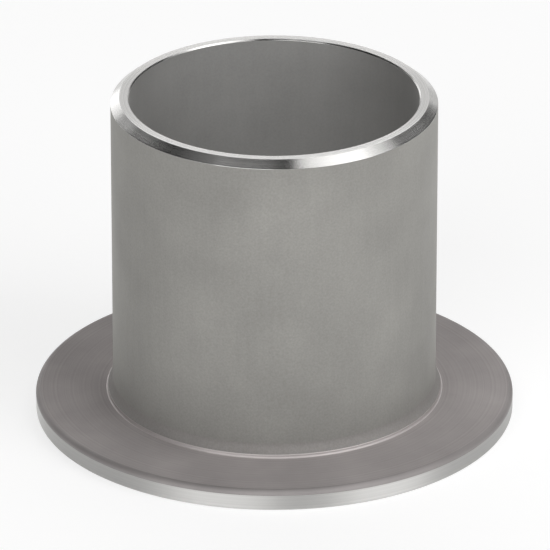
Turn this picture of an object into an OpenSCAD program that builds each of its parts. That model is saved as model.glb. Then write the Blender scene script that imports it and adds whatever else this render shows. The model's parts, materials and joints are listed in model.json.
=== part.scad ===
// Lap joint stub end for 40 mm nominal pipe, short pattern with a small fillet.
// One piece of stainless steel: a straight barrel with a bevelled weld end,
// and a lap, turned flat on both faces, that a loose backing flange seats on.
// The origin is the centre of the gasket face, with +Z along the barrel to the weld end.

/* [Barrel] */
// Outside diameter of the barrel
barrel_od = 49; // [44:0.1:56]
// Thickness of the barrel's wall
wall = 2.77; // [2:0.01:4]
// Length from the gasket face to the weld end
overall_length = 51; // [40:0.5:102]

/* [Lap] */
// Outside diameter of the lap
lap_od = 72.5; // [64:0.1:84]
// Thickness of the lap
lap_thickness = 3.2; // [2.5:0.1:5]
// Radius of the fillet at the foot of the barrel
fillet_radius = 2.2; // [1.2:0.1:4]
// How far the fillet stands out from the barrel, up to where the lap's back face is turned flat
fillet_width = 0.8; // [0.3:0.05:0.9]
// Radius on the rim's edge at the lap's back face
back_edge_radius = 0.8; // [0.1:0.05:1.2]
// Radius on the rim's edge at the gasket face
face_edge_radius = 0.3; // [0.1:0.05:1]
// Chamfer where the bore opens into the gasket face
mouth_chamfer = 0.5; // [0.1:0.1:1]

/* [Weld end] */
// Angle of the weld bevel, from the plane of the pipe's end
bevel_angle = 37.5; // [25:0.5:50]
// Width of the flat root face, between the bevel and the bore's chamfer
root_face = 1.25; // [0.8:0.05:1.6]
// Chamfer that takes the burr off the bore's edge
burr_chamfer = 0.2; // [0.05:0.05:0.35]

/* [Hidden] */
$fn = 128;

barrel_r = barrel_od / 2;
bore_r = barrel_r - wall;
lap_r = lap_od / 2;
bevel_width = wall - root_face - burr_chamfer;
bevel_height = bevel_width * tan(bevel_angle);
// How far a cutting shape runs past the face that it cuts
past = 1;

// Half section of the plain barrel, from the gasket face to the weld end
module barrel_section() {
    translate([bore_r, 0]) square([wall, overall_length]);
}

// Half section of the lap, which starts inside the barrel's wall
module lap_section() {
    difference() {
        translate([bore_r, 0]) square([lap_r - bore_r, lap_thickness]);
        translate([lap_r, lap_thickness]) mirror([0, 1]) round_off(back_edge_radius);
        translate([lap_r, 0]) round_off(face_edge_radius);
    }
}

// The sliver that rounds the corner at the origin, of a shape to its upper left
module round_off(radius) {
    difference() {
        translate([-radius, -past]) square([radius + past, radius + past]);
        translate([-radius, radius]) circle(radius);
    }
}

// Concave fillet at the foot of the barrel, cut short by the facing of the lap, which leaves a low step
module fillet_section() {
    translate([barrel_r, lap_thickness]) difference() {
        square([fillet_width, fillet_radius]);
        translate([fillet_radius, fillet_radius]) circle(fillet_radius);
    }
}

// What the weld preparation turns off the barrel's end: the bevel outside, the burr inside
module weld_preparation() {
    slope = tan(bevel_angle);
    translate([barrel_r, overall_length]) polygon([
        [-bevel_width - past / slope, past],
        [past, past],
        [past, -bevel_height - past * slope],
    ]);
    translate([bore_r, overall_length]) polygon([
        [-past, past],
        [burr_chamfer + past, past],
        [-past, -burr_chamfer - past],
    ]);
}

// What is turned off the bore's edge at the gasket face
module mouth_cut() {
    translate([bore_r, 0]) polygon([
        [-past, -past],
        [mouth_chamfer + past, -past],
        [-past, mouth_chamfer + past],
    ]);
}

module stub_end() {
    color("silver") rotate_extrude() difference() {
        union() {
            barrel_section();
            lap_section();
            fillet_section();
        }
        weld_preparation();
        mouth_cut();
    }
}

stub_end();
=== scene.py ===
import cmath
import json
import math

import bpy
import numpy as np
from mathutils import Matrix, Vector


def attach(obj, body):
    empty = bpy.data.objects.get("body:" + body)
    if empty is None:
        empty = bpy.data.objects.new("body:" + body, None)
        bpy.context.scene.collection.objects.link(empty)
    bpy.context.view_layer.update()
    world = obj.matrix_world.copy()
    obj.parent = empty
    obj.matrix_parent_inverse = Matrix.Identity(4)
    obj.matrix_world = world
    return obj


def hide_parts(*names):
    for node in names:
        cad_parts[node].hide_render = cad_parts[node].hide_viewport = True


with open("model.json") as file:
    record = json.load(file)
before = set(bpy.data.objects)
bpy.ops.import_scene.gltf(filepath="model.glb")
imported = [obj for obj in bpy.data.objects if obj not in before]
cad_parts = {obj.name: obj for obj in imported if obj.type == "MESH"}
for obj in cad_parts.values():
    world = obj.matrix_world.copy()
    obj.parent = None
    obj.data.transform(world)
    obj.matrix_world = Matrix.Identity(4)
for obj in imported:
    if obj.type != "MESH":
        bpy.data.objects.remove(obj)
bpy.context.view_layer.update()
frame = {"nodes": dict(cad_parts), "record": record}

# How finely the turned section is drawn: segments in a turn, the angle and the length that a strip may span
SEGMENTS = 288
ARC_STEP = math.radians(9)
LONGEST_STEP = 0.003
# Rounding of the edges that the solid leaves sharp, in metres
EDGE_RADIUS = 0.00006
STEP_EDGE_RADIUS = 0.00015
STEP_FOOT_RADIUS = 0.00025
# Turned grooves of the gasket face: pitch and depth in metres, and the steps that each is drawn in
GROOVE_PITCH = 0.0008
GROOVE_DEPTH = 0.00005
GROOVE_POINTS = 6
# Two sizes closer than this are the same
NEAR = 1e-6

# The camera, as fitted to the outline in the photograph
ELEVATION = math.radians(24.95)
DISTANCE = 1.1025
FOCAL_PIXELS = 7299
PICTURE_PIXELS = 550
SENSOR_MM = 36
AIM = Vector((0.0001, 0, 0.02154))

# The studio: how far the lights stand from the part, the room's grey, and the floor's size and finish.
# The floor lies a hair below the gasket face, so that the two planes don't touch.
SOFTBOX_DISTANCE = 0.9
ROOM_GREY = 0.62
FLOOR_HALF = 4.0
FLOOR_DROP = 0.00005
FLOOR_GREY = 0.45
FLOOR_ROUGHNESS = 0.9
FLOOR_GLOW = 0.64

# Tints of the steel, to be scaled by a tone, and how far a pattern moves tone and roughness either way
WARM = (1.0, 0.985, 0.94)
BLUSH = (1.0, 0.965, 0.935)
ROSY = (1.0, 0.945, 0.935)
NEUTRAL = (1.0, 0.99, 0.97)
TONE_RANGE = 0.04
ROUGHNESS_RANGE = 0.05
# Noise seeds, chosen so that the clouds of tone come near those in the photograph
BARREL_SEED = 35
BORE_SEED = 23
LAP_SEED = 11
# Drawing lines on a pipe wall: the scale along the axis that stretches them, and their share in the tone
LINE_STRETCH = 0.08
LINE_SHARE = 0.15


def mount(name):
    """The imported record's mount of that name."""
    return next(m for m in frame["record"]["mounts"] if m["name"] == name)


def section_corners():
    """The solid's half section as corners: a point (radius and height as one complex number), the radius
    that rounds it, the finish of that rounding, and the finish of the straight run that follows."""
    points = np.array([v.co for v in frame["nodes"]["stub_end"].data.vertices])
    radius = np.hypot(points[:, 0], points[:, 1])
    height = points[:, 2]
    barrel_r = mount("barrel")["dims"]["r_mm"] / 1000
    bore_r = mount("bore")["dims"]["r_mm"] / 1000
    lap_z = mount("lap_back")["pos_m"][2]
    lap_r = radius.max()
    end_z = height.max()
    barrel_z = height[abs(radius - barrel_r) < NEAR]
    bore_z = height[abs(radius - bore_r) < NEAR]
    gasket_r = radius[abs(height) < NEAR]
    root_r = radius[abs(height - end_z) < NEAR]
    rim_z = height[abs(radius - lap_r) < NEAR]
    foot_r = radius[abs(height - lap_z) < NEAR].min()
    step_top = complex(foot_r, height[abs(radius - foot_r) < NEAR].max())
    fillet_radius = barrel_z.min() - lap_z
    # The fillet's tangent at the top of the step meets the line of the barrel at this corner
    spoke = complex(barrel_r, lap_z) + fillet_radius * (1 + 1j) - step_top
    fillet_z = step_top.imag + (foot_r - barrel_r) * spoke.real / spoke.imag
    # The fillet's arc leaves room for the rounded edge of the step
    fillet_arc = fillet_radius - 2 * STEP_EDGE_RADIUS
    return [
        (complex(gasket_r.min(), 0), EDGE_RADIUS, "turned", "gasket_face"),
        (complex(lap_r, 0), rim_z.min(), "rim", "rim"),
        (complex(lap_r, lap_z), lap_z - rim_z.max(), "edge", "lap_back"),
        (complex(foot_r, lap_z), STEP_FOOT_RADIUS, "step", "step"),
        (step_top, STEP_EDGE_RADIUS, "step", "fillet"),
        (complex(barrel_r, fillet_z), fillet_arc, "fillet", "barrel"),
        (complex(barrel_r, barrel_z.max()), EDGE_RADIUS, "turned", "turned"),
        (complex(root_r.max(), end_z), EDGE_RADIUS, "turned", "turned"),
        (complex(root_r.min(), end_z), EDGE_RADIUS, "turned", "turned"),
        (complex(bore_r, bore_z.max()), EDGE_RADIUS, "turned", "bore"),
        (complex(bore_r, bore_z.min()), EDGE_RADIUS, "turned", "turned"),
    ]


def arc(before, corner, after, radius):
    """Points and outward normals of the arc that rounds a corner, in complex numbers."""
    way_in = (corner - before) / abs(corner - before)
    way_out = (after - corner) / abs(after - corner)
    turn = cmath.phase(way_out / way_in)
    start = corner - way_in * radius * math.tan(abs(turn) / 2)
    outward = -1j * way_in
    centre = start - math.copysign(radius, turn) * outward
    steps = max(3, math.ceil(abs(turn) / ARC_STEP))
    normals = outward * np.exp(1j * turn * np.linspace(0, 1, steps + 1))
    return centre + math.copysign(radius, turn) * normals, normals


def straight(start, end):
    """Inner points of a plain run, a few millimetres apart, with their normals."""
    count = max(1, math.ceil(abs(end - start) / LONGEST_STEP))
    points = start + (end - start) * np.arange(1, count) / count
    return points, np.full(len(points), -1j * (end - start) / abs(end - start))


def grooved(start, end):
    """Inner points of the gasket face: shallow round grooves, one tool feed apart, cut up into the lap."""
    count = int(abs(end - start) / GROOVE_PITCH) - 1
    margin = (abs(end - start) - count * GROOVE_PITCH) / 2
    phase = np.arange(count * GROOVE_POINTS + 1) / GROOVE_POINTS
    radius = start.real + margin + phase * GROOVE_PITCH
    height = GROOVE_DEPTH * np.sin(math.pi * phase) ** 2
    slope = GROOVE_DEPTH * math.pi / GROOVE_PITCH * np.sin(2 * math.pi * phase)
    normals = (slope - 1j) / np.abs(slope - 1j)
    return radius + 1j * height, normals


def section():
    """The rounded half section: points, normals, and the finish of the strip that follows each point."""
    corners = section_corners()
    arcs = []
    for i, (corner, radius, _, _) in enumerate(corners):
        after = corners[(i + 1) % len(corners)][0]
        arcs.append(arc(corners[i - 1][0], corner, after, radius))
    points, normals, finishes = [], [], []
    for i, (_, _, arc_finish, run_finish) in enumerate(corners):
        run_end = arcs[(i + 1) % len(arcs)][0][0]
        run = grooved if run_finish == "gasket_face" else straight
        run_points, run_normals = run(arcs[i][0][-1], run_end)
        points += [*arcs[i][0], *run_points]
        normals += [*arcs[i][1], *run_normals]
        finishes += [arc_finish] * (len(arcs[i][0]) - 1) + [run_finish] * (len(run_points) + 1)
    return np.array(points), np.array(normals), finishes


def revolve(name, points, normals, finishes, materials):
    """One closed mesh that turns the section about Z, with exact normals and a material for each finish."""
    turn = np.exp(2j * math.pi * np.arange(SEGMENTS) / SEGMENTS)

    def spin(values):
        """Each section value on every segment, as rows of x, y and z."""
        flat = np.outer(values.real, turn)
        up = np.repeat(values.imag[:, None], SEGMENTS, axis=1)
        return np.stack([flat.real, flat.imag, up], axis=-1).reshape(-1, 3)

    ring = np.arange(len(points))[:, None] * SEGMENTS
    next_ring = np.roll(ring, -1, axis=0)
    here = np.arange(SEGMENTS)
    there = np.roll(here, -1)
    faces = np.stack([ring + here, ring + there, next_ring + there, next_ring + here], axis=-1)
    mesh = bpy.data.meshes.new(name)
    mesh.from_pydata(spin(points), [], faces.reshape(-1, 4).tolist())
    for material in materials.values():
        mesh.materials.append(material)
    slots = [list(materials).index(finish) for finish in finishes]
    mesh.polygons.foreach_set("material_index", np.repeat(slots, SEGMENTS))
    mesh.polygons.foreach_set("use_smooth", np.ones(len(mesh.polygons), bool))
    mesh.normals_split_custom_set_from_vertices(spin(normals))
    mesh.update()
    piece = bpy.data.objects.new(name, mesh)
    bpy.context.scene.collection.objects.link(piece)
    return piece


def add_node(tree, kind, inputs=None, **settings):
    """A new node with its settings, and each input linked to a socket or set to a value."""
    node = tree.nodes.new(kind)
    for key, value in settings.items():
        setattr(node, key, value)
    for key, value in (inputs or {}).items():
        if isinstance(value, bpy.types.NodeSocket):
            tree.links.new(value, node.inputs[key])
        else:
            node.inputs[key].default_value = value
    return node


def noise(tree, vector, size, detail, seed=0):
    """Noise in solid space, whose features are about that size in metres. Each seed lays them out anew."""
    inputs = {"Vector": vector, "W": seed, "Scale": 1 / size, "Detail": detail}
    return add_node(tree, "ShaderNodeTexNoise", inputs, noise_dimensions="4D").outputs["Fac"]


def spread(tree, value, low, high):
    """A noise value's usual range, about 0.3 to 0.7, mapped to low and high."""
    inputs = {"Value": value, "From Min": 0.3, "From Max": 0.7, "To Min": low, "To Max": high}
    return add_node(tree, "ShaderNodeMapRange", inputs).outputs["Result"]


def set_colour(tree, shader, pattern, tint, tone):
    """Gives the shader a tint whose tone varies with a noise value."""
    mix = add_node(tree, "ShaderNodeMix", {"Factor": spread(tree, pattern, 0, 1)}, data_type="RGBA")
    sockets = [socket for socket in mix.inputs if socket.type == "RGBA"]
    for socket, level in zip(sockets, (tone - TONE_RANGE, tone + TONE_RANGE)):
        socket.default_value = (*(level * channel for channel in tint), 1)
    colour = next(socket for socket in mix.outputs if socket.type == "RGBA")
    tree.links.new(colour, shader.inputs["Base Color"])


def set_roughness(tree, shader, pattern, roughness):
    """Gives the shader a roughness that varies with a noise value."""
    varied = spread(tree, pattern, roughness - ROUGHNESS_RANGE, roughness + ROUGHNESS_RANGE)
    tree.links.new(varied, shader.inputs["Roughness"])


def set_relief(tree, shader, pattern, depth):
    """Bumps of that depth, in metres, on the shader's normal."""
    relief = add_node(tree, "ShaderNodeBump", {"Height": pattern, "Distance": depth})
    tree.links.new(relief.outputs["Normal"], shader.inputs["Normal"])


def steel(name, anisotropy):
    """A metal whose grain runs round the axis: the material, its tree, its shader and its coordinates."""
    material = bpy.data.materials.new(name)
    material.use_nodes = True
    tree = material.node_tree
    shader = tree.nodes["Principled BSDF"]
    shader.inputs["Metallic"].default_value = 1
    shader.inputs["Anisotropic"].default_value = anisotropy
    # A quarter turn, so that it is rougher across the grain than along it
    shader.inputs["Anisotropic Rotation"].default_value = 0.25
    around = add_node(tree, "ShaderNodeTangent", direction_type="RADIAL", axis="Z")
    tree.links.new(around.outputs["Tangent"], shader.inputs["Tangent"])
    place = add_node(tree, "ShaderNodeTexCoord").outputs["Object"]
    return material, tree, shader, place


def tool_marks(tree, place, feed):
    """Fine rings left by a turning tool: noise that changes only with radius and height."""
    parts = add_node(tree, "ShaderNodeSeparateXYZ", {"Vector": place})
    flat = add_node(tree, "ShaderNodeCombineXYZ", {"X": parts.outputs["X"], "Y": parts.outputs["Y"]})
    radius = add_node(tree, "ShaderNodeVectorMath", {0: flat.outputs["Vector"]}, operation="LENGTH")
    along = add_node(tree, "ShaderNodeMath", {0: radius.outputs["Value"], 1: parts.outputs["Z"]})
    inputs = {"W": along.outputs["Value"], "Scale": 1 / feed, "Detail": 2.0}
    return add_node(tree, "ShaderNodeTexNoise", inputs, noise_dimensions="1D").outputs["Fac"]


def pickled_steel(name, tint, tone, roughness, seed):
    """Dull grey pipe wall: acid-cleaned grain, cloudy tone and faint drawing lines along the axis."""
    material, tree, shader, place = steel(name, anisotropy=0)
    clouds = noise(tree, place, size=0.012, detail=5, seed=seed)
    drawn = add_node(tree, "ShaderNodeMapping", {"Vector": place, "Scale": (1, 1, LINE_STRETCH)})
    lines = noise(tree, drawn.outputs["Vector"], size=0.0009, detail=3)
    streaks = add_node(tree, "ShaderNodeMix", {"Factor": LINE_SHARE, "A": clouds, "B": lines})
    set_colour(tree, shader, streaks.outputs["Result"], tint, tone)
    grain = noise(tree, place, size=0.0003, detail=4)
    set_roughness(tree, shader, grain, roughness)
    set_relief(tree, shader, grain, depth=0.00002)
    return material


def turned_steel(name, feed, tone, roughness):
    """Bright freshly cut metal, with rings one tool feed apart."""
    material, tree, shader, place = steel(name, anisotropy=0.9)
    marks = tool_marks(tree, place, feed)
    set_colour(tree, shader, marks, NEUTRAL, tone)
    set_roughness(tree, shader, marks, roughness)
    set_relief(tree, shader, marks, depth=0.000004)
    return material


def faced_steel(name, tint, tone, roughness, seed):
    """Metal that was turned and then dulled by the acid clean: a cloudy tone over faint rings."""
    material, tree, shader, place = steel(name, anisotropy=0.1)
    marks = tool_marks(tree, place, feed=0.0003)
    clouds = noise(tree, place, size=0.01, detail=5, seed=seed)
    set_colour(tree, shader, clouds, tint, tone)
    set_roughness(tree, shader, marks, roughness)
    set_relief(tree, shader, marks, depth=0.000006)
    return material


def build_part():
    """The stub end's visible mesh, in place of the plain solid."""
    materials = {
        "barrel": pickled_steel("barrel_steel", WARM, tone=0.44, roughness=0.85, seed=BARREL_SEED),
        "fillet": pickled_steel("fillet_steel", BLUSH, tone=0.44, roughness=0.85, seed=BARREL_SEED),
        "bore": pickled_steel("bore_steel", NEUTRAL, tone=0.475, roughness=0.72, seed=BORE_SEED),
        "turned": turned_steel("turned_steel", feed=0.0002, tone=0.74, roughness=0.26),
        "rim": turned_steel("rim_steel", feed=0.0003, tone=0.63, roughness=0.48),
        "lap_back": faced_steel("lap_steel", ROSY, tone=0.52, roughness=0.93, seed=LAP_SEED),
        # The step's riser: the lap's steel, smoother, with a lighter tone that is a painted highlight along
        # the step
        "step": faced_steel("step_steel_painted_highlight", ROSY, tone=0.67, roughness=0.65, seed=LAP_SEED),
        # The rounded outer edge: the lap's steel with a darker tone, which is painted shade along the edge
        "edge": faced_steel("edge_steel_painted_shade", ROSY, tone=0.42, roughness=0.75, seed=LAP_SEED),
        "gasket_face": faced_steel("gasket_steel", NEUTRAL, tone=0.59, roughness=0.39, seed=LAP_SEED),
    }
    piece = revolve("stub_end_turned", *section(), materials)
    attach(piece, "root")
    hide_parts("stub_end")


def aimed(thing, place, target):
    """Puts a light or camera at a place, pointing at a target."""
    thing.location = place
    thing.rotation_mode = "QUATERNION"
    thing.rotation_quaternion = (target - place).to_track_quat("-Z", "Y")


def build_camera():
    """The camera, at the photograph's height and distance."""
    camera = bpy.data.objects.new("camera", bpy.data.cameras.new("camera"))
    camera.data.sensor_width = SENSOR_MM
    camera.data.lens = FOCAL_PIXELS / PICTURE_PIXELS * SENSOR_MM
    back = Vector((0, -math.cos(ELEVATION), math.sin(ELEVATION)))
    aimed(camera, AIM + back * DISTANCE, AIM)
    bpy.context.scene.collection.objects.link(camera)
    bpy.context.scene.camera = camera


def softbox(name, azimuth, elevation, wide, high, radiance):
    """A rectangular light that faces the part, placed and sized by the angles, in degrees, that it fills as
    seen from the part. Azimuth 0 is the camera's side, and 90 is to its right."""
    a, e = math.radians(azimuth), math.radians(elevation)
    way = Vector((math.sin(a) * math.cos(e), -math.cos(a) * math.cos(e), math.sin(e)))
    light = bpy.data.lights.new(name, "AREA")
    light.shape = "RECTANGLE"
    light.size = 2 * SOFTBOX_DISTANCE * math.tan(math.radians(wide) / 2)
    light.size_y = 2 * SOFTBOX_DISTANCE * math.tan(math.radians(high) / 2)
    light.energy = radiance * math.pi * light.size * light.size_y
    lamp = bpy.data.objects.new(name, light)
    lamp.visible_camera = False
    aimed(lamp, AIM + way * SOFTBOX_DISTANCE, AIM)
    bpy.context.scene.collection.objects.link(lamp)


def build_lights():
    """Two softboxes in front, a low strip on the left, one box high on either side, two behind on the left,
    and a pale backdrop in two parts. The room itself gives no light."""
    # Azimuth, elevation, width and height in degrees, then radiance
    softbox("front_left", -22, 29, 38, 48, 2.35)
    softbox("low_left", -45, 4, 24, 8, 3.2)
    softbox("front_right", 53, 32, 42, 54, 2.3)
    softbox("high_right", 91, 63, 38, 38, 1.17)
    softbox("high_left", -88, 64, 22, 16, 0.16)
    softbox("backdrop", 180, 22, 58, 36, 0.7)
    softbox("backdrop_top", 180, 46, 60, 20, 1.72)
    softbox("back_left", -150, 9, 24, 20, 1.03)
    softbox("back_left_high", -140, 25, 20, 18, 0.29)
    world = bpy.data.worlds.new("room")
    world.use_nodes = True
    world.node_tree.nodes["Background"].inputs["Color"].default_value = (ROOM_GREY, ROOM_GREY, ROOM_GREY, 1)
    bpy.context.scene.world = world
    world.cycles_visibility.diffuse = False
    world.cycles_visibility.glossy = False
    bpy.context.scene.view_settings.view_transform = "Standard"


def build_floor():
    """A plain pale floor, partly lit from within, that shows only from above."""
    corners = [(x * FLOOR_HALF, y * FLOOR_HALF, -FLOOR_DROP) for x, y in ((-1, -1), (1, -1), (1, 1), (-1, 1))]
    mesh = bpy.data.meshes.new("floor")
    mesh.from_pydata(corners, [], [(0, 1, 2, 3)])
    material = bpy.data.materials.new("floor")
    material.use_nodes = True
    tree = material.node_tree
    shader = tree.nodes["Principled BSDF"]
    shader.inputs["Base Color"].default_value = (FLOOR_GREY, FLOOR_GREY, FLOOR_GREY, 1)
    shader.inputs["Roughness"].default_value = FLOOR_ROUGHNESS
    shader.inputs["Specular IOR Level"].default_value = 0
    shader.inputs["Emission Color"].default_value = (1, 1, 1, 1)
    shader.inputs["Emission Strength"].default_value = FLOOR_GLOW
    below = add_node(tree, "ShaderNodeNewGeometry").outputs["Backfacing"]
    clear = add_node(tree, "ShaderNodeBsdfTransparent").outputs["BSDF"]
    both = add_node(tree, "ShaderNodeMixShader", {0: below, 1: shader.outputs["BSDF"], 2: clear})
    tree.links.new(both.outputs["Shader"], tree.nodes["Material Output"].inputs["Surface"])
    mesh.materials.append(material)
    floor = bpy.data.objects.new("floor", mesh)
    bpy.context.scene.collection.objects.link(floor)


build_part()
build_camera()
build_lights()
build_floor()
